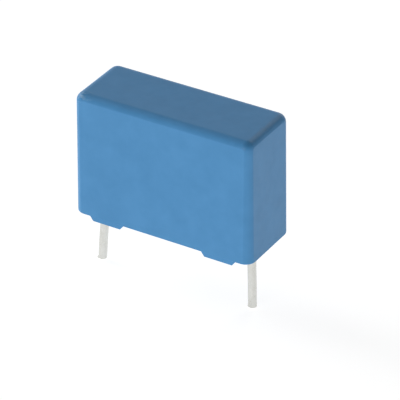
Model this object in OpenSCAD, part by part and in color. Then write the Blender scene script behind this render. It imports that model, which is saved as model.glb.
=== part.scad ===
// Box film capacitor for a circuit board, radial leads, in millimetres.
// A moulded case, open below, holds a flat-pressed film winding in potting resin.
// The origin is midway between the two leads on the board's top face, +Z is up from
// the board, X runs along the row of leads and -Y is the side that the leads are nearer to.

/* [Case] */
// Length of the case at its open end
case_l = 18; // [16:0.1:32]
// Thickness of the case at its open end
case_w = 7; // [6.4:0.1:8.5]
// Height of the case above the board, feet included
case_h = 12.5; // [11.5:0.1:14]
// Thickness of the side walls at the open end
wall = 0.55; // [0.45:0.05:0.7]
// Thickness of the closed top
roof = 0.6; // [0.5:0.05:0.9]
// Lean of each side wall, in degrees, that lets the case leave its mould
draft = 0.75; // [0.25:0.25:1.25]
// Radius of the upright corners at the open end
corner_r = 1.02; // [0.98:0.01:1.4]
// Radius of the edge round the closed top
top_r = 0.79; // [0.4:0.01:0.9]
// Depth by which the flat walls trim the rounded edges, which leaves a fine crease
edge_trim = 0.04; // [0.02:0.01:0.06]
// Radius of the outer edge of the rim
rim_r = 0.16; // [0.12:0.01:0.2]
// Radius of the cavity's upright corners at the open end
cavity_corner_r = 0.45; // [0.4:0.05:0.6]
// Radius of the edge round the cavity's ceiling
cavity_edge_r = 0.12; // [0.05:0.01:0.18]

/* [Feet] */
// Height of the feet that keep the rim off the board
foot_h = 0.5; // [0.4:0.05:0.8]
// Length of a foot where it leaves the rim
foot_l = 3.55; // [2.5:0.05:4]
// Distance from the end of the case to the nearer end of a foot, at the rim
foot_inset = 1.5; // [1.4:0.05:2.5]
// Length by which each end of a foot draws in over its height
foot_bevel = 0.38; // [0.1:0.01:0.5]
// Depth to which a foot is rooted in the wall that it stands below
foot_root = 0.2; // [0.1:0.05:0.3]

/* [Leads] */
// Distance from the end of the case to the axis of a lead
lead_inset = 1.5; // [1.4:0.1:2]
// Diameter of the lead wire
lead_d = 0.8; // [0.7:0.05:0.9]
// Length of a lead below the board's top face
lead_l = 5.65; // [3:0.05:12]
// Distance of the leads in front of the case's middle
lead_forward = 0.6; // [0:0.1:0.8]
// Bevel left on the cut end of a lead
lead_bevel = 0.06; // [0.03:0.01:0.1]
// Thickness of the stretch pressed flat for welding
blade_t = 0.4; // [0.35:0.05:0.45]
// Width of the flat stretch
blade_w = 1.3; // [1.2:0.05:1.5]
// Height over which the round wire turns flat
neck_h = 0.9; // [0.6:0.1:1]
// Depth to which the flat stretch is welded into the sprayed metal
weld_sink = 0.1; // [0.05:0.05:0.15]

/* [Winding] */
// Thickness of the sprayed metal on each end of the winding
spray_t = 0.45; // [0.35:0.05:0.6]
// Width of the thinner band of sprayed metal along its edge
spray_band = 0.3; // [0.2:0.05:0.4]
// Thickness of the plain film wrapped round the winding
wrap_t = 0.12; // [0.08:0.02:0.2]

/* [Potting] */
// Depth of the resin's surface inside the rim
resin_recess = 0.08; // [0.05:0.01:0.09]
// Width of the strip where the resin climbs the walls
meniscus_w = 0.25; // [0.15:0.05:0.35]
// Gap for resin between the wrap and the side walls, where it is narrowest
side_gap = 0.22; // [0.15:0.01:0.35]
// Gap for resin between the wrap and the ceiling
top_gap = 0.3; // [0.2:0.05:0.6]
// Gap for resin between the wrap and the resin's open surface
bottom_gap = 1.1; // [1:0.1:1.5]
// Distance from the top of the winding down to the end of a lead
lead_stop = 1.8; // [1:0.1:3]

/* [Hidden] */
$fn = 64;

blue = "#4084bd";
resin_blue = "#2c5a86";
film_grey = "#b9bcc0";
wrap_clear = "#d9dde0";
zinc_grey = "#8d9094";
tin_silver = "#c9c9c3";

// The case, from its rim to its closed top
rise = case_h - foot_h;
cavity_l = case_l - 2 * wall;
cavity_w = case_w - 2 * wall;
cavity_h = rise - roof;
cavity_w_at_ceiling = cavity_w - 2 * cavity_h * tan(draft);

// The feet: each one's outer face starts where the rim's rounded edge ends
foot_setback = rim_r - edge_trim;
foot_t = wall - foot_setback;
foot_far = case_l / 2 - foot_inset;
foot_near = foot_far - foot_l;

// The leads, with the same distance to each end of the case
lead_pitch = case_l - 2 * lead_inset;

// The winding, from the room that the resin leaves in the cavity
wrap_w = cavity_w_at_ceiling - 2 * side_gap;
resin_z = foot_h + resin_recess;
wrap_top = case_h - roof - top_gap;
wrap_bottom = resin_z + bottom_gap;
wrap_h = wrap_top - wrap_bottom;
spray_face = lead_pitch / 2 - lead_d / 2 + weld_sink;
winding_l = 2 * (spray_face - spray_t);

// Where the lead's flat stretch begins and ends
neck_top = resin_z + neck_h;
blade_top = wrap_top - lead_stop;

// How far out a wall stands at the height z, if it starts at the distance out and leans in.
function wall_at(out, z, lean) = out - z * tan(lean);

// The largest radius, up to r, of an edge that runs round a corner of radius out at the
// height h without turning inside out.
function edge_that_fits(r, out, h, lean) =
    min(r, wall_at(out, h, lean) * cos(lean) / (1 - sin(lean)));

// The half of a disc that lies on the side of +X.
module half_disc(r) {
    intersection() {
        circle(r);
        translate([0, -r]) square([r, 2 * r]);
    }
}

// Half section of a drafted box from a corner's axis outwards: it stands on the X axis,
// starts at the distance out and leans inwards. It has true arcs that touch the wall, of
// radius edge at the top and lip at the bottom, or sharp corners where they are 0.
module wall_section(out, h, edge, lip, lean) {
    top = edge_that_fits(edge, out, h, lean);
    top_z = h - top * (1 - sin(lean));
    top_x = wall_at(out, top_z, lean) - top * cos(lean);
    lip_z = lip * (1 + sin(lean));
    lip_x = wall_at(out, lip_z, lean) - lip * cos(lean);
    foot = lip > 0
        ? [[lip_x, 0], [lip_x, lip_z], [wall_at(out, lip_z, lean), lip_z]]
        : [[out, 0]];
    head = top > 0
        ? [[wall_at(out, top_z, lean), top_z], [top_x, top_z], [top_x, h]]
        : [[wall_at(out, h, lean), h]];
    polygon(concat([[0, 0]], foot, head, [[0, h]]));
    if (top > 0)
        translate([top_x, h - top]) half_disc(top);
    if (lip > 0)
        translate([lip_x, lip]) half_disc(lip);
}

// A box of l by w by h on z = 0, narrowing upwards by the angle lean, with rounded upright
// corners. One wall section is turned about the four corner axes and drawn along the four
// sides, so that flats, corner cones and edge arcs all meet tangentially.
module drafted_box(l, w, h, corner, edge, lip, lean) {
    x = l / 2 - corner;
    y = w / 2 - corner;
    translate([-x, -y, 0]) cube([2 * x, 2 * y, h]);
    for (flip = [0, 1]) {
        mirror([0, flip, 0])
            translate([-x, y, 0]) rotate([90, 0, 90])
                linear_extrude(2 * x) wall_section(corner, h, edge, lip, lean);
        mirror([flip, 0, 0])
            translate([x, y, 0]) rotate([90, 0, 0])
                linear_extrude(2 * y) wall_section(corner, h, edge, lip, lean);
        for (turn = [0, 1])
            mirror([flip, 0, 0]) mirror([0, turn, 0])
                translate([x, y, 0])
                    rotate_extrude(angle = 90) wall_section(corner, h, edge, lip, lean);
    }
}

// Puts its children in the middle of the case, with z = 0 at the rim.
module in_case() {
    translate([0, lead_forward, foot_h]) children();
}

// One foot of the back wall on the right-hand side: a low trapezoid below the rim.
module foot() {
    translate([0, case_w / 2 - foot_setback, 0]) rotate([90, 0, 0])
        linear_extrude(foot_t) polygon([
            [foot_near, foot_root],
            [foot_near, 0],
            [foot_near + foot_bevel, -foot_h],
            [foot_far - foot_bevel, -foot_h],
            [foot_far, 0],
            [foot_far, foot_root]
        ]);
}

// The space inside the case.
module cavity() {
    drafted_box(cavity_l, cavity_w, cavity_h, cavity_corner_r, cavity_edge_r, 0, draft);
}

// A prism across the case, w wide, between two opposite flat walls that stand l apart at
// the rim. It reaches past the rim and the top.
module between_walls(l, w) {
    low = -foot_h;
    high = case_h;
    rotate([90, 0, 0]) linear_extrude(w, center = true) polygon([
        [-wall_at(l / 2, low, draft), low],
        [wall_at(l / 2, low, draft), low],
        [wall_at(l / 2, high, draft), high],
        [-wall_at(l / 2, high, draft), high]
    ]);
}

// The outside of the case: a well rounded box that is a little too large, trimmed by the
// flat walls. That leaves a fine crease along each upright corner, the top edge and the rim.
module outside() {
    intersection() {
        drafted_box(
            case_l + 2 * edge_trim, case_w + 2 * edge_trim, rise, corner_r, top_r, rim_r, draft
        );
        between_walls(case_l, 2 * case_w);
        rotate([0, 0, 90]) between_walls(case_w, 2 * case_l);
    }
}

// The moulded case with its four feet.
module case() {
    color(blue) in_case() {
        difference() {
            outside();
            cavity();
        }
        for (side = [0, 1], end = [0, 1])
            mirror([0, side, 0]) mirror([end, 0, 0]) foot();
    }
}

// The outline of the winding's end, w wide and h high with round ends.
module flat_roll(w, h) {
    square([w, h - w], center = true);
    for (end = [-1, 1])
        translate([0, end * (h - w) / 2]) circle(d = w);
}

// Draws an outline along X from the distance from to the distance to, centred on the winding.
module along_winding(from, to) {
    translate([from, lead_forward, (wrap_top + wrap_bottom) / 2])
        rotate([90, 0, 90]) linear_extrude(to - from) children();
}

// The winding: two metallised films rolled together and pressed flat.
module film_winding() {
    color(film_grey) along_winding(-winding_l / 2, winding_l / 2)
        flat_roll(wrap_w - 2 * wrap_t, wrap_h - 2 * wrap_t);
}

// A few turns of plain film that keep the winding closed.
module outer_wrap() {
    color(wrap_clear) along_winding(-winding_l / 2, winding_l / 2)
        difference() {
            flat_roll(wrap_w, wrap_h);
            flat_roll(wrap_w - 2 * wrap_t, wrap_h - 2 * wrap_t);
        }
}

// Sprayed metal that joins the turns at the right-hand end, with the lead's seat in it.
module end_spray() {
    start = winding_l / 2;
    color(zinc_grey) difference() {
        union() {
            along_winding(start, start + spray_t / 2) flat_roll(wrap_w, wrap_h);
            along_winding(start, spray_face)
                flat_roll(wrap_w - 2 * spray_band, wrap_h - 2 * spray_band);
        }
        lead();
    }
}

// The right-hand lead: round wire up to the resin, then a neck that widens and thins into
// the flat stretch whose inner face is level with the side of the round wire.
module lead() {
    r = lead_d / 2;
    color(tin_silver) translate([lead_pitch / 2, 0, 0]) {
        translate([0, 0, -lead_l])
            cylinder(h = lead_bevel, r1 = r - lead_bevel, r2 = r);
        translate([0, 0, lead_bevel - lead_l])
            cylinder(h = lead_l - lead_bevel + resin_z, r = r);
        intersection() {
            union() {
                translate([0, 0, resin_z])
                    cylinder(h = neck_h, r1 = r, r2 = blade_w / 2);
                translate([0, 0, neck_top])
                    cylinder(h = blade_top - neck_top, r = blade_w / 2);
            }
            rotate([90, 0, 0]) linear_extrude(2 * blade_w, center = true) polygon([
                [-r, resin_z],
                [r, resin_z],
                [blade_t - r, neck_top],
                [blade_t - r, blade_top],
                [-r, blade_top]
            ]);
        }
    }
}

module lead_right() {
    lead();
}

module lead_left() {
    mirror([1, 0, 0]) lead();
}

module end_spray_right() {
    end_spray();
}

module end_spray_left() {
    mirror([1, 0, 0]) end_spray();
}

// Resin that fills the cavity round the winding and climbs a little at the rim.
module potting_resin() {
    color(resin_blue) difference() {
        in_case() cavity();
        in_case() drafted_box(
            cavity_l, cavity_w, resin_recess, cavity_corner_r, 0, 0,
            atan(meniscus_w / resin_recess)
        );
        along_winding(-winding_l / 2, winding_l / 2) flat_roll(wrap_w, wrap_h);
        for (end = [0, 1]) mirror([end, 0, 0]) {
            end_spray();
            lead();
        }
    }
}

case();
potting_resin();
film_winding();
outer_wrap();
end_spray_left();
end_spray_right();
lead_left();
lead_right();
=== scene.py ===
# %% [markdown]
# # A box film capacitor, dressed in Blender
#
# This lesson takes the imported model of a box film capacitor and gives it its looks: the
# moulded plastic case, the poured resin below it, the two tinned wires, and the winding that
# sits inside. The case, the resin and the wires are numpy surfaces, worked out from formulas,
# the winding keeps the model's own shape, and each material is made of nodes. It ends with a
# plain studio and a camera with a long lens.
#
# The first cell loads the model. Its nodes are the real pieces, in metres, and their places
# never change.

# %% Load the imported model
import math

import bpy
import numpy as np
from mathutils import Matrix, Vector


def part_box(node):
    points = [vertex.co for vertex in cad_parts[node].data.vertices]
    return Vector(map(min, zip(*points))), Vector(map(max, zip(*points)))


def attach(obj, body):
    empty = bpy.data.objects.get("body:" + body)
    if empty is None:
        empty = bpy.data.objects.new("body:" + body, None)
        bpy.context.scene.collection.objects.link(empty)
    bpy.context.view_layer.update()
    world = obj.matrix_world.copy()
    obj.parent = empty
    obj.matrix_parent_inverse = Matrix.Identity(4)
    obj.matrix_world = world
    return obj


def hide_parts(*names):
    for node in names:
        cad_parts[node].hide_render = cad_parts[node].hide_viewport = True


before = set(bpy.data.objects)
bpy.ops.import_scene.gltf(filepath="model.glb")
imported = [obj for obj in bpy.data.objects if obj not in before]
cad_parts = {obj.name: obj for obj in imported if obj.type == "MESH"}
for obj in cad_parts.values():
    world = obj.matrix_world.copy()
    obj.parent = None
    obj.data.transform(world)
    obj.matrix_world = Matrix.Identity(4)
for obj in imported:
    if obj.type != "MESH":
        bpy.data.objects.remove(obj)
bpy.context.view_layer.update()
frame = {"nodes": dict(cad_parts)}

print("nodes:", ", ".join(sorted(frame["nodes"])))

# %% [markdown]
# ## Sizes
#
# The surfaces follow the solids, so they start from the same sizes, in millimetres. What
# the boxes of the nodes can tell is taken from them, and the rest is written down once here.

# %% Sizes shared with the solids, in millimetres
MM = 0.001


def box_mm(node):
    """Return a node's lowest and highest corners in millimetres."""
    lo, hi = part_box(node)
    return np.array(lo) / MM, np.array(hi) / MM


case_lo, case_hi = box_mm("case")
CASE_L = 18.0
CASE_W = 7.0
CASE_TOP = case_hi[2]
MIDDLE_Y = (case_lo[1] + case_hi[1]) / 2
FOOT_H = 0.5
FOOT_FAR = 7.5  # a foot's ends, from the middle of the case
FOOT_NEAR = 3.95
FOOT_BEVEL = 0.38
WALL = 0.55
ROOF = 0.6
CORNER_R = 1.02
TOP_R = 0.79
RIM_R = 0.16
EDGE_TRIM = 0.04
CAVITY_R = 0.45
CAVITY_EDGE_R = 0.12
DRAFT = math.radians(0.75)
RISE = CASE_TOP - FOOT_H
LEAD_R = 0.4
LEAD_LOW = box_mm("lead_left")[0][2]
LEAD_X = 7.5
RESIN_Z = FOOT_H + 0.08
print(f"case {CASE_L} x {CASE_W} x {CASE_TOP:.2f} mm, leads down to {LEAD_LOW:.2f} mm")

# %% [markdown]
# ## A grid of points becomes a mesh
#
# Every piece below is a grid: rows run one way over the surface and columns the other. The
# helper joins each grid point to its neighbours. A closed ring of columns has no seam,
# because the last column joins the first one, and a row that shrinks to one point is a pole
# with a fan of triangles. All of it is index arithmetic on whole arrays.


# %% Turn grids into mesh objects
def grid_faces(rows, columns, closed):
    """Number the corners of the quads of a grid of rows x columns points.

    Point (i, j) has the number i * columns + j. A closed grid also joins its last column
    to its first one.
    """
    i = np.arange(rows - 1)[:, None]
    j = np.arange(columns if closed else columns - 1)[None, :]
    k = (j + 1) % columns
    return np.stack([i * columns + j + 0 * k, i * columns + k,
                     (i + 1) * columns + k, (i + 1) * columns + j + 0 * k],
                    axis=-1).reshape(-1, 4)


def with_poles(points):
    """Make a closed surface of rings of points by closing its first and last ring.

    points has the shape (rows, columns, 3). A pole goes to the middle of the first ring
    and to that of the last ring, with a fan of triangles round it.
    """
    rows, columns = points.shape[:2]
    first = points[0].mean(axis=0)
    last = points[-1].mean(axis=0)
    vertices = np.concatenate([points.reshape(-1, 3), [first, last]])
    j = np.arange(columns)
    k = (j + 1) % columns
    top = np.stack([np.full(columns, rows * columns), k, j], axis=1)
    end = (rows - 1) * columns
    bottom = np.stack([end + j, end + k, np.full(columns, rows * columns + 1)], axis=1)
    return vertices, [grid_faces(rows, columns, True), top, bottom]


def make_mesh(name, vertices_mm, face_sets, sharp_from=None):
    """Make a mesh object from vertices in millimetres and sets of triangles or quads.

    Faces that meet at less than the angle sharp_from, in degrees, are shaded smooth across
    their edge, and a wider angle stays crisp. The object stays at the origin, unturned.
    """
    mesh = bpy.data.meshes.new(name)
    loops = np.concatenate([f.reshape(-1) for f in face_sets]).astype(np.int32)
    sizes = np.concatenate([np.full(len(f), f.shape[1]) for f in face_sets])
    starts = np.concatenate([[0], np.cumsum(sizes)[:-1]]).astype(np.int32)
    mesh.vertices.add(len(vertices_mm))
    mesh.vertices.foreach_set("co", (vertices_mm * MM).astype(np.float32).reshape(-1))
    mesh.loops.add(len(loops))
    mesh.loops.foreach_set("vertex_index", loops)
    mesh.polygons.add(len(sizes))
    mesh.polygons.foreach_set("loop_start", starts)
    mesh.update(calc_edges=True)
    mesh.validate()
    mesh.polygons.foreach_set("use_smooth", np.ones(len(mesh.polygons), dtype=bool))
    if sharp_from is not None:
        mesh.set_sharp_from_angle(angle=math.radians(sharp_from))
    mesh.update()
    piece = bpy.data.objects.new(name, mesh)
    bpy.context.scene.collection.objects.link(piece)
    print(f"{name}: {len(vertices_mm)} points, {len(mesh.polygons)} faces")
    return piece


# %% [markdown]
# ## Nodes in a few words
#
# The materials are built with two small helpers. One adds a node and sets its inputs, the
# other makes the bare material with its shader. Textures read Object coordinates: the
# pieces stay at the origin, so these are metres on the real piece, and a scale of 1000
# counts millimetres.

# %% Helpers for node materials
PER_MM = 1000


class Nodes:
    """Adds shader nodes to one material and links them."""

    def __init__(self, name):
        self.material = bpy.data.materials.new(name)
        self.material.use_nodes = True
        self.tree = self.material.node_tree
        self.tree.nodes.clear()
        self.shader = self.add("ShaderNodeBsdfPrincipled")
        self.output = self.add("ShaderNodeOutputMaterial")
        self.link(self.shader.outputs["BSDF"], self.output.inputs["Surface"])
        self.where = self.add("ShaderNodeTexCoord").outputs["Object"]

    def add(self, kind, **settings):
        """Add a node of a kind and set its properties."""
        node = self.tree.nodes.new(kind)
        for key, value in settings.items():
            setattr(node, key, value)
        return node

    def link(self, source, target):
        """Join an output to an input."""
        self.tree.links.new(source, target)

    def scaled(self, x=PER_MM, y=PER_MM, z=PER_MM):
        """Return Object coordinates times (x, y, z), in millimetres unless told otherwise."""
        mapping = self.add("ShaderNodeMapping")
        mapping.inputs["Scale"].default_value = (x, y, z)
        self.link(self.where, mapping.inputs["Vector"])
        return mapping.outputs["Vector"]

    def noise(self, vector, scale, detail=2.0, roughness=0.5):
        """Return a noise texture's value, 0 to 1."""
        node = self.add("ShaderNodeTexNoise")
        node.inputs["Scale"].default_value = scale
        node.inputs["Detail"].default_value = detail
        node.inputs["Roughness"].default_value = roughness
        self.link(vector, node.inputs["Vector"])
        return node.outputs["Fac"]

    def span(self, value, from_lo, from_hi, to_lo, to_hi, smooth=False):
        """Map a value's span to another one, held at the ends."""
        node = self.add("ShaderNodeMapRange")
        node.interpolation_type = "SMOOTHSTEP" if smooth else "LINEAR"
        for key, number in zip(("From Min", "From Max", "To Min", "To Max"),
                               (from_lo, from_hi, to_lo, to_hi)):
            node.inputs[key].default_value = number
        self.link(value, node.inputs["Value"])
        return node.outputs["Result"]

    def math(self, operation, a, b=None):
        """Return the result of a Math node on sockets or numbers."""
        node = self.add("ShaderNodeMath", operation=operation)
        for socket, value in zip(node.inputs, (a, b)):
            if value is None:
                continue
            if isinstance(value, (int, float)):
                socket.default_value = value
            else:
                self.link(value, socket)
        return node.outputs["Value"]

    def mix(self, factor, a, b):
        """Mix two colours, given as numbers or sockets, by a factor."""
        node = self.add("ShaderNodeMix", data_type="RGBA")
        self.link(factor, node.inputs["Factor"])
        for key, value in (("A", a), ("B", b)):
            socket = [s for s in node.inputs if s.name == key and s.type == "RGBA"][0]
            if isinstance(value, tuple):
                socket.default_value = (*value, 1.0)
            else:
                self.link(value, socket)
        return [s for s in node.outputs if s.type == "RGBA"][0]

    def bump(self, height, depth_mm, strength=1.0, below=None):
        """Bend the normal by a height between 0 and 1 that is depth_mm deep."""
        node = self.add("ShaderNodeBump")
        node.inputs["Strength"].default_value = strength
        node.inputs["Distance"].default_value = depth_mm * MM
        self.link(height, node.inputs["Height"])
        if below is not None:
            self.link(below, node.inputs["Normal"])
        self.link(node.outputs["Normal"], self.shader.inputs["Normal"])
        return node.outputs["Normal"]

    def set(self, **values):
        """Set inputs of the shader by name, with _ for a space."""
        for key, value in values.items():
            socket = self.shader.inputs[key.replace("_", " ")]
            if hasattr(value, "is_linked"):
                self.link(value, socket)
            else:
                socket.default_value = (*value, 1.0) if isinstance(value, tuple) else value


# %% [markdown]
# ## The moulded case
#
# The case is one closed surface. Its columns run once round the outline, and each has a
# base point and a direction. On a straight side the base point moves and the direction
# stays, and at a corner the base point rests on the corner's axis while the direction turns
# by a right angle. A profile then says, from the middle of the top over the rounded edge,
# down the leaning wall, round the rim, over the foot and up the inside to the ceiling, how
# far out and how high each row lies.
#
# The flat walls trim the rounded edges a little, so that a fine crease runs along each
# upright corner and round the top. In the formula that is a clamp: a point of the rounded
# form that would lie outside a flat wall is put on the wall. One column and one row follow
# each crease exactly, so it stays crisp.


# %% Columns round the outline of the case
AXIS_X = CASE_L / 2 + EDGE_TRIM - CORNER_R
AXIS_Y = CASE_W / 2 + EDGE_TRIM - CORNER_R
CREASE_AT = 0.12  # the share of a corner at which its crease has a column
CORNER_COLUMNS = 17
BESIDE_MARK = (-0.05, -0.025, 0, 0.025, 0.05)


def side_stops(half, extra=()):
    """Return the places of the columns along one straight side, from -half to half.

    The marks in extra get a few columns at small distances on both sides, for the edges of
    the feet.
    """
    places = [s * half * m for m in (0, 0.25, 0.5, 0.75, 1) for s in (-1, 1)]
    places += [s * (m + d) for m in extra for d in BESIDE_MARK for s in (-1, 1)]
    if extra:
        places += [s * m for m in np.linspace(FOOT_NEAR, FOOT_FAR, 9) for s in (-1, 1)]
    return np.unique(np.round(places, 4))


def outline_columns():
    """Return the base points, the side's outward angle and the share of each column.

    The outline runs counter-clockwise seen from above, from the front side on. The share
    is 0 on a straight side and goes from 0 to 1 round a corner. The corner's columns crowd
    on both sides of its creases.
    """
    feet = (FOOT_FAR, FOOT_FAR - FOOT_BEVEL, FOOT_NEAR + FOOT_BEVEL, FOOT_NEAR)
    round_part = np.linspace(CREASE_AT, 1 - CREASE_AT, CORNER_COLUMNS)
    corner = np.concatenate([[0.04, 0.08], round_part, [0.92, 0.96]])
    base, angle, share = [], [], []
    for k in range(4):
        along = side_stops(AXIS_X, feet) if k % 2 == 0 else side_stops(AXIS_Y)
        across = AXIS_Y if k % 2 == 0 else AXIS_X
        turn = (k - 1) * math.pi / 2
        outward = np.array([math.cos(turn), math.sin(turn)])
        forward = np.array([-outward[1], outward[0]])
        side = outward * across + forward * along[:, None]
        base += [side, np.repeat(side[-1:], len(corner), axis=0)]
        share += [np.zeros(len(along)), corner]
        angle.append(np.full(len(along) + len(corner), turn))
    return np.concatenate(base), np.concatenate(angle), np.concatenate(share)


BASE, TURN, SHARE = outline_columns()
print(len(BASE), "columns round the case")

# %% [markdown]
# The feet stand below the long sides only. Their depth below the rim is a trapezoid of the
# distance along the side, with its corners rounded by averaging it over a short stretch.

# %% The depth of the feet
FOOT_ROUNDING = 0.035


def foot_depth(x):
    """Return the depth of the feet below the rim at the distances x along a long side.

    It rises from 0 to the foot's height over the bevel at each end. The mean over a short
    stretch rounds the corners.
    """
    shifts = np.linspace(-FOOT_ROUNDING, FOOT_ROUNDING, 9)[:, None]
    a = np.abs(x)[None, :] + shifts
    rise = np.minimum(a - FOOT_NEAR, FOOT_FAR - a) / FOOT_BEVEL
    return FOOT_H * np.clip(rise, 0, 1).mean(axis=0)


print("a foot's depth, from its end on:", foot_depth(FOOT_FAR - np.array([0, 0.2, 0.5])).round(3))

# %% [markdown]
# The outside's profile is drawn once. Two arcs, for the rounded top edge and for the rim,
# touch the leaning line of the wall, and each has a row where the flat walls will trim it.

# %% The outside's profile
WALL_ROWS = np.array([10.8, 10, 9, 7.5, 6, 4.5, 3, 1.5, 0.7, 0.3])


def arc(centre, radius, start, end, steps):
    """Return points on an arc, given by its angles in degrees."""
    a = np.radians(np.linspace(start, end, steps + 1))
    return np.stack([centre[0] + radius * np.cos(a), centre[1] + radius * np.sin(a)], axis=1)


def outer_profile():
    """Return how far out from the base line, and how high above the rim, each row lies.

    It runs from the start of the rounded top edge down to the rim, on the rounded form
    that isn't trimmed yet. The arcs have a row where the flat walls will trim them: an arc
    of radius r is cut where r times 1 minus the cosine of its angle is the depth.
    """
    cut = EDGE_TRIM * math.cos(DRAFT)
    lean = math.degrees(DRAFT)
    top_z = RISE - TOP_R * (1 - math.sin(DRAFT))
    top = (CORNER_R - top_z * math.tan(DRAFT) - TOP_R * math.cos(DRAFT), RISE - TOP_R)
    top_crease = lean + math.degrees(math.acos(1 - cut / TOP_R))
    lip_z = RIM_R * (1 + math.sin(DRAFT))
    lip = (CORNER_R - lip_z * math.tan(DRAFT) - RIM_R * math.cos(DRAFT), RIM_R)
    lip_crease = lean - math.degrees(math.acos(1 - cut / RIM_R))
    return np.concatenate([
        arc(top, TOP_R, 90, top_crease, 12), arc(top, TOP_R, top_crease - 4, lean, 3),
        np.stack([CORNER_R - WALL_ROWS * math.tan(DRAFT), WALL_ROWS], axis=1),
        arc(lip, RIM_R, lean, lip_crease, 3), arc(lip, RIM_R, lip_crease - 6, -90, 5)])


print(len(outer_profile()), "rows from the roof's edge down to the rim")

# %% [markdown]
# A moulded wall shrinks as it sets, so the broad faces sink in by a few hundredths of a
# millimetre at their middle. The sink is a smooth bell that is zero at the edges, and it
# makes the faces catch the light unevenly, as real ones do.

# %% Sink of the broad faces
SINK = 0.025
SINK_OF_ENDS = 0.5
SINK_OF_TOP = 0.7
LEVEL_EDGE = 0.9  # how wide a strip along an edge stays level


def bell(x):
    """Return the square of a cosine, which is 1 at 0 and falls to 0 at -1 and 1."""
    return np.cos(np.clip(x, -1, 1) * math.pi / 2) ** 2


def sunk(points):
    """Push the broad faces of the case inwards by up to SINK at their middle.

    Each face's shift is a bell along both of its directions, times a high power of the
    distance from the middle plane that faces it, which is 1 on that face alone.
    """
    x, y, z = points[..., 0], points[..., 1], points[..., 2]
    bell_x = bell(x / (CASE_L / 2 - LEVEL_EDGE))
    bell_y = bell(y / (CASE_W / 2 - LEVEL_EDGE))
    bell_z = bell((z / RISE - 0.5) / 0.44)
    side_y = np.clip(np.abs(y) / (CASE_W / 2 - 0.2), 0, 1) ** 8
    side_x = np.clip(np.abs(x) / (CASE_L / 2 - 0.2), 0, 1) ** 8
    side_z = np.clip(z / (RISE - 0.1), 0, 1) ** 24
    shift = np.stack([-np.sign(x) * bell_y * bell_z * side_x * SINK_OF_ENDS,
                      -np.sign(y) * bell_x * bell_z * side_y,
                      -bell_x * bell_y * side_z * SINK_OF_TOP], axis=-1)
    return points + SINK * shift


print("sink in mm: sides", SINK, "ends", SINK * SINK_OF_ENDS, "top", SINK * SINK_OF_TOP)

# %% [markdown]
# A ring of the outside is the rounded form, clamped onto the flat walls. A ring of the
# cavity follows the same columns round its own, smaller corners.

# %% Rings of the outside and of the cavity
LEAST_CREASE = math.radians(6)


def directions(crease):
    """Return the outward direction of each column, with creases at an angle in radians."""
    turn = np.interp(SHARE, [0, CREASE_AT, 1 - CREASE_AT, 1],
                     [0, crease, math.pi / 2 - crease, math.pi / 2])
    return np.stack([np.cos(TURN + turn), np.sin(TURN + turn)], axis=1)


def outer_ring(distance, z):
    """Return one ring of the trimmed outside, from its distance from the axes and height.

    A round corner of that radius passes through the flat wall at the angle whose cosine is
    the wall's distance over the radius. The clamp puts what lies outside on the wall.
    """
    wall = CORNER_R - EDGE_TRIM - z * math.tan(DRAFT)
    crease = math.acos(min(1, wall / distance))
    flat = BASE + directions(max(crease, LEAST_CREASE)) * distance
    limit = np.array([CASE_L / 2, CASE_W / 2]) - z * math.tan(DRAFT)
    return np.column_stack([np.clip(flat, -limit, limit), np.full(len(flat), z)])


def inner_ring(distance, z):
    """Return one ring of the cavity, from its distance from its corner axes and height."""
    axis = np.array([CASE_L / 2, CASE_W / 2]) - WALL - CAVITY_R
    flat = np.clip(BASE, -axis, axis) + directions(LEAST_CREASE) * distance
    return np.column_stack([flat, np.full(len(flat), z)])


rim_ring = outer_ring(*outer_profile()[-1])
print("the rim's underside in mm:", np.ptp(rim_ring[:, :2], axis=0).round(3))

# %% [markdown]
# The roof is filled by drawing the first ring of the rounded edge together towards the
# middle. Below the rim the rows go round each foot, with a small rounding at its edges, and
# straight across the rim where there is none. The last rings climb the cavity and close it.

# %% All rings of the case
ROOF_SHARES = (0.04, 0.3, 0.6, 0.85, 0.98)
CEILING_SHARES = (0.6, 0.1)
FOOT_EDGE_R = 0.045


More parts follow.
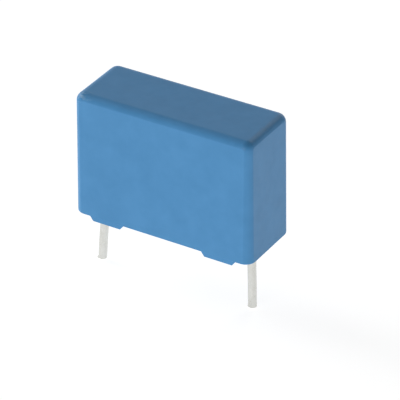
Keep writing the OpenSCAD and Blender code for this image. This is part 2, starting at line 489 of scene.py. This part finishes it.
def case_rings():
    """Return all rings of the case's surface, from the roof to the ceiling of the cavity.

    Between the outer and the inner ring at the rim, a row is given by its share of the way
    across and its depth. Round a foot's edge both follow a quarter circle.
    """
    outer = [outer_ring(d, z) for d, z in outer_profile()]
    rings = [outer[0] * [share, share, 1] for share in ROOF_SHARES] + outer
    outer_at_rim = outer[-1][:, :2]
    inner_at_rim = inner_ring(CAVITY_R, 0)[:, :2]
    width = np.hypot(*(inner_at_rim - outer_at_rim).T)
    depth = np.where(np.abs(np.sin(TURN)) > 0.5, foot_depth(BASE[:, 0]), 0.0)
    edge = np.minimum(depth / 2, FOOT_EDGE_R)
    a = np.radians([0, 18, 36, 54, 72, 90])[:, None]
    down = np.array([[0.1], [0.5], [0.97]]) * (depth - edge)
    near = np.concatenate([0 * down, edge * (1 - np.cos(a))])
    low = np.concatenate([down, depth - edge + edge * np.sin(a)])
    across = np.concatenate([near, width * [[0.35], [0.65]], (width - near)[::-1]]) / width
    low = np.concatenate([low, [depth, depth], low[::-1]])
    even = np.linspace(0.03, 0.97, len(low))[:, None]
    on = np.clip(depth / (2 * FOOT_EDGE_R), 0, 1)
    across = across * on + even * (1 - on)
    for share, z in zip(across, -low):
        rings.append(np.column_stack([
            outer_at_rim + (inner_at_rim - outer_at_rim) * share[:, None], z]))
    ceiling = RISE - ROOF
    for z in (0.02, 0.3, ceiling / 2, ceiling - CAVITY_EDGE_R - 0.1, ceiling - CAVITY_EDGE_R):
        rings.append(inner_ring(CAVITY_R - z * math.tan(DRAFT), z))
    reach = CAVITY_R - ceiling * math.tan(DRAFT)
    edge_centre = (reach - CAVITY_EDGE_R, ceiling - CAVITY_EDGE_R)
    rings += [inner_ring(d, z) for d, z in arc(edge_centre, CAVITY_EDGE_R, 15, 90, 5)]
    rings += [rings[-1] * [share, share, 1] for share in CEILING_SHARES]
    return np.stack(rings)


rings = sunk(case_rings())
print("rings x columns:", rings.shape[:2])

# %% [markdown]
# The rings are moved to the case's place. Faces of the plain surface that meet at less than
# 13 degrees are shaded smooth, so the fine creases stay crisp.

# %% Build the case
rings[..., 1] += MIDDLE_Y
rings[..., 2] += FOOT_H
vertices, face_sets = with_poles(rings[:, ::-1])
case_shell = make_mesh("case_shell", vertices, face_sets, sharp_from=13)
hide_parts("case")
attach(case_shell, "root")

# %% [markdown]
# ## The poured resin
#
# Resin closes the open side. While it is liquid it climbs the walls of the case and the
# wires, so its surface is a height field: a nearly flat level, plus a rise that falls off
# exponentially with the distance to the nearest wall and to each wire, plus a few broad
# ripples.

# %% The level of the resin
WALL_STOPS = np.array([0, 0.01, 0.03, 0.06, 0.1, 0.16, 0.24, 0.34, 0.5])
NEAR_WIRE, WIRE_STEP = 1.0, 0.06
DIP = 0.055
WALL_CLIMB, WALL_FADE = 0.105, 0.16
WIRE_CLIMB, WIRE_FADE = 0.2, 0.2
RIPPLE = 0.012


def resin_stops(half, dense):
    """Return stops from -half to half, close together near the walls and the wires."""
    ends = half - WALL_STOPS
    near = np.concatenate([c + np.arange(-NEAR_WIRE, NEAR_WIRE + 0.001, WIRE_STEP)
                           for c in dense])
    coarse = np.linspace(-half + WALL_STOPS[-1], half - WALL_STOPS[-1], 40)
    off = np.abs(coarse[:, None] - np.array(dense)[None, :]).min(axis=1)
    far = coarse[off > NEAR_WIRE]
    stops = np.unique(np.round(np.concatenate([ends, -ends, near, far]), 5))
    return stops[np.abs(stops) <= half + 1e-9]


def resin_level(x, y, half_x, half_y):
    """Return the height of the resin's open side above the board, in millimetres.

    Smaller is nearer to the board. The climb is its height at a wall or a wire, times the
    exponential of minus the distance over the fade. The ripples are sines and fade out
    towards the walls.
    """
    qx = np.maximum(np.abs(x) - (half_x - CAVITY_R), 0)
    qy = np.maximum(np.abs(y) - (half_y - CAVITY_R), 0)
    inside = np.minimum(half_x - np.abs(x), half_y - np.abs(y))
    round_corner = CAVITY_R - np.hypot(qx, qy)
    to_wall = np.where((qx > 0) & (qy > 0), round_corner, inside).clip(0)
    level = RESIN_Z + DIP - WALL_CLIMB * np.exp(-to_wall / WALL_FADE)
    for sign in (-1, 1):
        to_wire = (np.hypot(x - sign * LEAD_X, y + MIDDLE_Y) - LEAD_R).clip(0)
        level = level - WIRE_CLIMB * np.exp(-to_wire / WIRE_FADE)
    ripples = (np.sin(0.9 * x + 0.7) * np.cos(1.3 * y + 0.4)
               + 0.6 * np.sin(1.7 * x - 1.1 * y + 2.0))
    return level + RIPPLE * ripples * np.clip(to_wall / 0.5, 0, 1)


print("the resin climbs", WALL_CLIMB, "mm at the walls and", WIRE_CLIMB, "mm at the wires")

# %% [markdown]
# The grid of the open side is squeezed along X so that its ends follow the rounded corners
# of the cavity. It stays a few micrometres off the case's wall.

# %% The resin's open side
RESIN_GAP = 0.004
half_x = CASE_L / 2 - WALL - RESIN_GAP
half_y = CASE_W / 2 - WALL - RESIN_GAP
xs = resin_stops(half_x, (-LEAD_X, LEAD_X))
ys = resin_stops(half_y, (-MIDDLE_Y,))
gx, gy = np.meshgrid(xs, ys)
bite = np.maximum(np.abs(gy) - (half_y - CAVITY_R), 0)
reach_x = half_x - CAVITY_R + np.sqrt(np.maximum(CAVITY_R ** 2 - bite ** 2, 0))
px = gx * reach_x / half_x
pz = resin_level(px, gy, half_x, half_y)
bottom = np.stack([px, gy, pz], axis=-1)
bottom_faces = grid_faces(len(ys), len(xs), False)[:, ::-1]
print("open side:", bottom.shape[:2], "points, z from", bottom[..., 2].min().round(3), "to",
      bottom[..., 2].max().round(3), "mm")

# %% [markdown]
# A skirt of rings carries the outline up the cavity's leaning wall, and a fan closes it under
# the ceiling. The skirt's first ring is the outline itself, so that the solid has no seam.

# %% Build the resin
count = bottom.shape[0] * bottom.shape[1]
index = np.arange(count).reshape(bottom.shape[:2])
edge_loop = np.concatenate([index[0, :-1], index[:-1, -1], index[-1, :0:-1], index[:0:-1, 0]])
edge_points = bottom.reshape(-1, 3)[edge_loop]
ceiling_z = CASE_TOP - ROOF - 0.01
shrink = 1 - (ceiling_z - FOOT_H) * math.tan(DRAFT) / np.array([half_x, half_y])
skirt = []
for share in (0.02, 0.5, 0.97):
    z = edge_points[:, 2] + (ceiling_z - 0.1 - edge_points[:, 2]) * share
    scale = 1 + (shrink - 1)[None, :] * share
    skirt.append(np.column_stack([edge_points[:, :2] * scale, z]))
skirt.append(np.column_stack([edge_points[:, :2] * shrink * 0.98,
                              np.full(len(edge_loop), ceiling_z)]))
skirt = np.stack(skirt)
ring_size = len(edge_loop)
number = np.concatenate([edge_loop, count + np.arange(skirt.shape[0] * ring_size)])
skirt_faces = number[grid_faces(skirt.shape[0] + 1, ring_size, True)]
pole = count + skirt.shape[0] * ring_size
last_ring = number[-ring_size:]
fan = np.stack([last_ring, np.roll(last_ring, -1), np.full(ring_size, pole)], axis=1)
vertices = np.concatenate([bottom.reshape(-1, 3), skirt.reshape(-1, 3),
                           [[0.0, 0.0, ceiling_z]]])
vertices[:, 1] += MIDDLE_Y
resin = make_mesh("resin_fill", vertices, [bottom_faces, skirt_faces, fan], sharp_from=40)
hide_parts("potting_resin")
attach(resin, "root")

# %% [markdown]
# ## The wires
#
# A lead is a tube along a path. Its section is a circle up to the resin and then changes
# into a flat, rounded bar, which is a superellipse: the power in its formula goes from 2,
# for a circle, to 6. The path bows slightly, because the wires are soft, and fine low waves
# from the winding spool remain. The cut end has the ridge and the small burr that cutters
# leave.

# %% The surface of a lead
AROUND = 40
TIP_ROWS = np.array([0.02, 0.035, 0.06, 0.1, 0.15, 0.22, 0.3, 0.42])
ROW_STEP = 0.2
NECK_TOP, BLADE_TOP = 1.48, 9.8
BLADE_HALF_X, BLADE_HALF_Y = 0.2, 0.65
BLADE_SHIFT = 0.2
PINCH, RIDGE, SPOOL_WAVE = 0.16, 0.07, 0.006


def lead_surface(sign, lean, burr_at, burr):
    """Return the rings of one lead, from the cut end up to the end of its flat stretch.

    sign is -1 for the left lead and 1 for the right one. lean is how far outwards its path
    has moved, in millimetres, per millimetre and per square millimetre below the resin.
    burr_at is the direction of the burr in degrees, and burr its size. A ring's points are
    the half width times the cosine and sine of the angle, each raised to the power, round
    the path's middle.
    """
    theta = np.linspace(0, 2 * math.pi, AROUND, endpoint=False)[None, :]
    z = np.concatenate([
        LEAD_LOW + TIP_ROWS, np.arange(LEAD_LOW + 0.6, RESIN_Z, ROW_STEP),
        np.linspace(RESIN_Z, NECK_TOP, 8), [3.0, 6.0, BLADE_TOP - 0.05, BLADE_TOP]])[:, None]
    below = np.maximum(RESIN_Z - z, 0)
    flat = np.clip((z - RESIN_Z) / (NECK_TOP - RESIN_Z), 0, 1)
    flat = flat * flat * (3 - 2 * flat)
    half_x = LEAD_R + (BLADE_HALF_X - LEAD_R) * flat
    half_y = LEAD_R + (BLADE_HALF_Y - LEAD_R) * flat
    power = 2 / (2 + 4 * flat)
    c, s = np.cos(theta), np.sin(theta)
    up = z - LEAD_LOW
    cut = 1 - PINCH * np.exp(-(up / 0.05) ** 2)
    out = burr * np.exp(-((up - 0.1) / 0.09) ** 2) * np.clip(
        np.cos(theta - math.radians(burr_at)), 0, 1) ** 10
    rough = 0.004 * np.sin(5 * theta + 11 * z) * np.exp(-(up / 0.5) ** 2)
    wave = SPOOL_WAVE * np.sin(1.9 * z + 1.3 * sign) * np.clip(below / 1.0, 0, 1)
    middle_x = sign * (LEAD_X + lean[0] * below + lean[1] * below ** 2) + wave
    middle_x = middle_x - sign * BLADE_SHIFT * flat
    scale = cut + (out + rough) / LEAD_R
    px = middle_x + scale * half_x * np.sign(c) * np.abs(c) ** power
    py = 0.5 * wave + scale * half_y * np.sign(s) * np.abs(s) ** power
    ridge = RIDGE * np.abs(np.sin(theta - math.radians(burr_at))) * np.exp(-up / 0.06)
    return np.stack([px, py, z + ridge + 0 * theta], axis=-1)


print("one lead has", lead_surface(1, (0, 0), 0, 0).shape[0], "rings of", AROUND, "points")

# %% [markdown]
# The cut end is filled with smaller rings that rise to the ridge. Handling has bent the left
# wire outwards a little more than the right one, so each gets its own lean.


# %% Build the leads
def lead_piece(name, node, sign, lean, burr_at, burr):
    """Make one lead, with a ridge across its cut end, in place of a node."""
    rings = lead_surface(sign, lean, burr_at, burr)
    middle = rings[0].mean(axis=0)
    across = rings[0, :, :2] - middle[:2]
    ends = []
    for share in (0.3, 0.65, 0.9):
        end = np.column_stack([middle[:2] + across * share,
                               LEAD_LOW + 0.004 + (rings[0, :, 2] - LEAD_LOW) * share])
        ends.append(end)
    rings = np.concatenate([np.stack(ends), rings])
    vertices, face_sets = with_poles(rings)
    vertices[-2, 2] = LEAD_LOW
    piece = make_mesh(name, vertices, face_sets, sharp_from=50)
    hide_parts(node)
    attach(piece, "root")
    return piece


wire_left = lead_piece("wire_left", "lead_left", -1, (0.0975, -0.0018), 211, 0.11)
wire_right = lead_piece("wire_right", "lead_right", 1, (0.0195, -0.0001), 205, 0.05)

# %% [markdown]
# ## Materials
#
# The case is moulded, glass-filled plastic. Its colour is even, with a faint mottle where
# the filler gathers, its gloss changes from place to place, and its skin has a very fine
# grain. Rubbing left some light flecks along the upper edge at one end of the front, where
# three masks along the axes, multiplied, let them show.


# %% Blue moulded plastic
def case_plastic():
    """Return the material of the case."""
    n = Nodes("case_plastic")
    mm = n.scaled()
    cloud = n.noise(mm, 0.55, 3.0, 0.55)
    speck = n.noise(mm, 9.0, 2.0, 0.6)
    tone = n.mix(n.span(cloud, 0.3, 0.7, 0.0, 1.0), (0.062, 0.245, 0.492), (0.073, 0.269, 0.532))
    tone = n.mix(n.span(speck, 0.62, 0.8, 0.0, 0.25), tone, (0.10, 0.30, 0.54))
    axes = n.add("ShaderNodeSeparateXYZ")
    n.link(mm, axes.inputs["Vector"])
    near_end = n.span(axes.outputs["X"], -8.9, -6.6, 1.0, 0.0, smooth=True)
    near_top = n.span(axes.outputs["Z"], 11.4, 12.2, 0.0, 1.0, smooth=True)
    in_front = n.span(axes.outputs["Y"], -2.2, -1.4, 1.0, 0.0, smooth=True)
    fleck = n.span(n.noise(n.scaled(500, 1600, 1600), 2.6, 4.0, 0.7), 0.53, 0.61, 0.0, 1.0)
    worn = n.math("MULTIPLY", n.math("MULTIPLY", near_end, near_top), in_front)
    worn = n.math("MULTIPLY", worn, fleck)
    tone = n.mix(n.math("MULTIPLY", worn, 0.6), tone, (0.30, 0.46, 0.62))
    rough = n.span(n.noise(mm, 1.7, 4.0, 0.6), 0.25, 0.75, 0.34, 0.44)
    grain = n.noise(mm, 22.0, 3.0, 0.6)
    first = n.bump(grain, 0.004, 0.5)
    n.bump(cloud, 0.02, 0.25, below=first)
    n.set(Base_Color=tone, Roughness=n.math("ADD", rough, n.math("MULTIPLY", worn, 0.15)),
          IOR=1.45, Specular_IOR_Level=0.28)
    return n.material


def dress(piece, material):
    """Put one material on all of a piece."""
    if not piece.material_slots:
        piece.data.materials.append(material)
    for slot in piece.material_slots:
        slot.material = material
    print(piece.name, "wears", material.name)


dress(case_shell, case_plastic())

# %% [markdown]
# Epoxy sets with a smooth, glossy skin, which is darker than the case and holds some dust.


# %% Poured epoxy
def resin_material():
    """Return the material of the resin: darker, smooth epoxy with dust in its skin."""
    n = Nodes("potting_resin")
    mm = n.scaled()
    cloud = n.noise(mm, 0.8, 3.0, 0.5)
    dust = n.noise(mm, 14.0, 2.0, 0.6)
    tone = n.mix(cloud, (0.022, 0.095, 0.215), (0.038, 0.140, 0.300))
    tone = n.mix(n.span(dust, 0.68, 0.8, 0.0, 0.3), tone, (0.12, 0.22, 0.36))
    n.bump(n.noise(mm, 1.1, 2.0, 0.4), 0.03, 0.5)
    n.set(Base_Color=tone, Roughness=n.span(dust, 0.3, 0.8, 0.16, 0.3), IOR=1.5)
    return n.material


dress(resin, resin_material())

# %% [markdown]
# The leads are copper wire with a coat of tin. Drawing the wire leaves fine lines along it,
# so the texture is stretched along Z, and handling leaves dull patches.


# %% Tinned wire
def wire_material():
    """Return the material of the tinned wires."""
    n = Nodes("tinned_wire")
    lines = n.noise(n.scaled(z=60), 11.0, 3.0, 0.6)
    patches = n.noise(n.scaled(), 1.6, 3.0, 0.6)
    tone = n.mix(patches, (0.58, 0.58, 0.54), (0.72, 0.72, 0.69))
    rough = n.span(patches, 0.3, 0.7, 0.24, 0.38)
    first = n.bump(lines, 0.006, 0.5)
    n.bump(n.noise(n.scaled(), 7.0, 2.0, 0.5), 0.008, 0.35, below=first)
    n.set(Base_Color=tone, Metallic=1.0, Roughness=rough)
    return n.material


tin = wire_material()
for piece in (wire_left, wire_right):
    dress(piece, tin)

# %% [markdown]
# The ends of the winding are sprayed with molten zinc. It sets as a crust of small splashes,
# which a cell texture under a fine grain gives.


# %% Sprayed zinc
def zinc_material():
    """Return the material of the sprayed ends: a rough crust of small splashes."""
    n = Nodes("sprayed_zinc")
    mm = n.scaled()
    crust = n.add("ShaderNodeTexVoronoi")
    crust.inputs["Scale"].default_value = 7.0
    n.link(mm, crust.inputs["Vector"])
    grain = n.noise(mm, 6.0, 5.0, 0.7)
    tone = n.mix(grain, (0.20, 0.205, 0.21), (0.42, 0.43, 0.44))
    n.bump(crust.outputs["Distance"], 0.08, 0.7, below=n.bump(grain, 0.05, 0.6))
    n.set(Base_Color=tone, Metallic=0.7, Roughness=n.span(grain, 0.3, 0.7, 0.5, 0.8))
    return n.material


zinc = zinc_material()
nodes = frame["nodes"]
for name in ("end_spray_left", "end_spray_right"):
    dress(nodes[name], zinc)

# %% [markdown]
# The winding and its wrap are thin film. Their turns run along the winding, so the texture
# is stretched that way. One film carries metal, and the other is clear plastic.


# %% Wound films
def film_material(name, low, high, roughness, metallic):
    """Return the material of wound film: fine lines along the turns."""
    n = Nodes(name)
    turns = n.noise(n.scaled(120, 9000, 9000), 1.0, 3.0, 0.6)
    sheen = n.noise(n.scaled(400, 900, 900), 1.0, 2.0, 0.5)
    n.bump(turns, 0.01, 0.5)
    n.set(Base_Color=n.mix(turns, low, high), Metallic=metallic,
          Roughness=n.span(sheen, 0.3, 0.7, roughness - 0.06, roughness + 0.08))
    return n.material


dress(nodes["film_winding"],
      film_material("metallised_film", (0.42, 0.43, 0.44), (0.58, 0.59, 0.60), 0.34, 0.6))
dress(nodes["outer_wrap"],
      film_material("plain_film", (0.56, 0.58, 0.60), (0.68, 0.70, 0.72), 0.22, 0.0))

# %% [markdown]
# ## The studio
#
# The floor is plain and pale, just under the tips of the wires. It glows, as a lit sheet of
# paper does, and what the camera and the reflections see of it is near white, with the
# object's shadow on it. A Light Path node tells these rays from the ones that carry light.


# %% Helpers for the floor and the sky
def seen_directly(nodes, links):
    """Return a socket that is 1 for camera, glossy and transmission rays."""
    path = nodes.new("ShaderNodeLightPath")
    total = path.outputs["Is Camera Ray"]
    for name in ("Is Glossy Ray", "Is Transmission Ray"):
        add = nodes.new("ShaderNodeMath")
        add.operation = "ADD"
        add.use_clamp = True
        links.new(total, add.inputs[0])
        links.new(path.outputs[name], add.inputs[1])
        total = add.outputs["Value"]
    return total


def blend(nodes, links, factor, low, high):
    """Return low where the factor is 0 and high where it is 1."""
    node = nodes.new("ShaderNodeMapRange")
    node.inputs["To Min"].default_value = low
    node.inputs["To Max"].default_value = high
    links.new(factor, node.inputs["Value"])
    return node.outputs["Result"]


# %% [markdown]
# The floor is one large square. Its paper reflects light and glows, and both have one value
# for the light that falls on the object and another for what is seen directly.

# %% Floor
FLOOR_HALF = 3.0
FLOOR_BELOW = 0.0002
FLOOR_GLOW, FLOOR_SEEN = 0.92, 0.87
PAPER, PAPER_SEEN = 0.8, 0.35

floor_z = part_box("lead_left")[0][2] - FLOOR_BELOW
floor_mesh = bpy.data.meshes.new("floor")
floor_mesh.from_pydata([(x * FLOOR_HALF, y * FLOOR_HALF, floor_z)
                        for x, y in ((-1, -1), (1, -1), (1, 1), (-1, 1))], [], [(0, 1, 2, 3)])
floor = bpy.data.objects.new("floor", floor_mesh)
bpy.context.scene.collection.objects.link(floor)
paper = Nodes("floor_paper")
paper.tree.nodes.remove(paper.shader)
seen = seen_directly(paper.tree.nodes, paper.tree.links)
diffuse = paper.add("ShaderNodeBsdfDiffuse")
paper.link(paper.mix(seen, (PAPER,) * 3, (PAPER_SEEN,) * 3), diffuse.inputs["Color"])
glow = paper.add("ShaderNodeEmission")
paper.link(blend(paper.tree.nodes, paper.tree.links, seen, FLOOR_GLOW, FLOOR_SEEN),
           glow.inputs["Strength"])
both = paper.add("ShaderNodeAddShader")
paper.link(diffuse.outputs["BSDF"], both.inputs[0])
paper.link(glow.outputs["Emission"], both.inputs[1])
paper.link(both.outputs["Shader"], paper.output.inputs["Surface"])
floor.data.materials.append(paper.material)
print("floor at", round(1000 * floor_z, 2), "mm")

# %% [markdown]
# The sky gives only a little light, so that the lamps shape the object, and is white where it
# is seen directly.

# %% Sky
SKY, SKY_SEEN = 0.04, 1.0

scene = bpy.context.scene
world = scene.world or bpy.data.worlds.new("sky")
scene.world = world
world.use_nodes = True
world.node_tree.nodes.clear()
sky_nodes, sky_links = world.node_tree.nodes, world.node_tree.links
background = sky_nodes.new("ShaderNodeBackground")
background.inputs["Color"].default_value = (1, 1, 1, 1)
sky_links.new(blend(sky_nodes, sky_links, seen_directly(sky_nodes, sky_links), SKY, SKY_SEEN),
              background.inputs["Strength"])
sky_output = sky_nodes.new("ShaderNodeOutputWorld")
sky_links.new(background.outputs["Background"], sky_output.inputs["Surface"])
print("sky", SKY, "as light and", SKY_SEEN, "as seen")

# %% [markdown]
# A lamp's light on a face that looks straight at it is its power over the distance squared
# and pi squared. That lets the cell below state each lamp by the share of light that it
# gives, and work out the power. One soft panel stands low in front, one at the left end and
# a weaker one behind, so that each face gets its own tone.

# %% Lamps
LIT_POINT = Vector((0, 0, 0.006))


def panel(name, azimuth, elevation, distance, size, share):
    """Add a square soft panel that faces the object.

    azimuth is 0 in front and 90 degrees at +X, both angles are in degrees, and share is
    the light that the panel gives to a white face turned towards it.
    """
    a, e = math.radians(azimuth), math.radians(elevation)
    way = Vector((math.sin(a) * math.cos(e), -math.cos(a) * math.cos(e), math.sin(e)))
    light = bpy.data.lights.new(name, "AREA")
    light.shape = "SQUARE"
    light.size = size
    light.energy = share * math.pi ** 2 * distance ** 2
    lamp = bpy.data.objects.new(name, light)
    lamp.location = LIT_POINT + way * distance
    lamp.rotation_euler = way.to_track_quat("Z", "Y").to_euler()
    scene.collection.objects.link(lamp)
    print(f"{name}: {light.energy:.3f} W")


DISTANCE_OF_PANELS, SIZE_OF_PANELS = 0.9, 0.5
for name, azimuth, elevation, share in (("front_panel", 0, 10, 0.39),
                                        ("left_panel", 270, 30, 0.60),
                                        ("back_panel", 180, 25, 0.26)):
    panel(name, azimuth, elevation, DISTANCE_OF_PANELS, SIZE_OF_PANELS, share)

# %% [markdown]
# ## The camera
#
# The camera is far away and has a long lens, so that the upright edges stay almost
# parallel. Its place is given by the point that it looks at, two angles and a distance, and
# a small roll.

# %% Camera
AIM = Vector((0.8984, 2.2613, 2.0545)) * MM
AZIMUTH, ELEVATION, ROLL = math.radians(31.212), math.radians(31.572), math.radians(-0.293)
DISTANCE = 0.264863
LENS, SENSOR = 270.225, 36

back = Vector((math.sin(AZIMUTH) * math.cos(ELEVATION),
               -math.cos(AZIMUTH) * math.cos(ELEVATION), math.sin(ELEVATION)))
right = Vector((math.cos(AZIMUTH), math.sin(AZIMUTH), 0))
up = back.cross(right)
right_rolled = right * math.cos(ROLL) + up * math.sin(ROLL)
up_rolled = up * math.cos(ROLL) - right * math.sin(ROLL)
camera_data = bpy.data.cameras.new("camera")
camera_data.sensor_width = SENSOR
camera_data.lens = LENS
camera_data.clip_start = 0.01
camera_data.clip_end = 10
camera = bpy.data.objects.new("camera", camera_data)
turned = Matrix((right_rolled, up_rolled, back)).transposed().to_quaternion()
camera.matrix_world = Matrix.LocRotScale(AIM + back * DISTANCE, turned, None)
scene.collection.objects.link(camera)
scene.camera = camera
scene.view_settings.view_transform = "Standard"
print("camera at", [round(1000 * v, 1) for v in camera.location], "mm, lens", LENS, "mm")
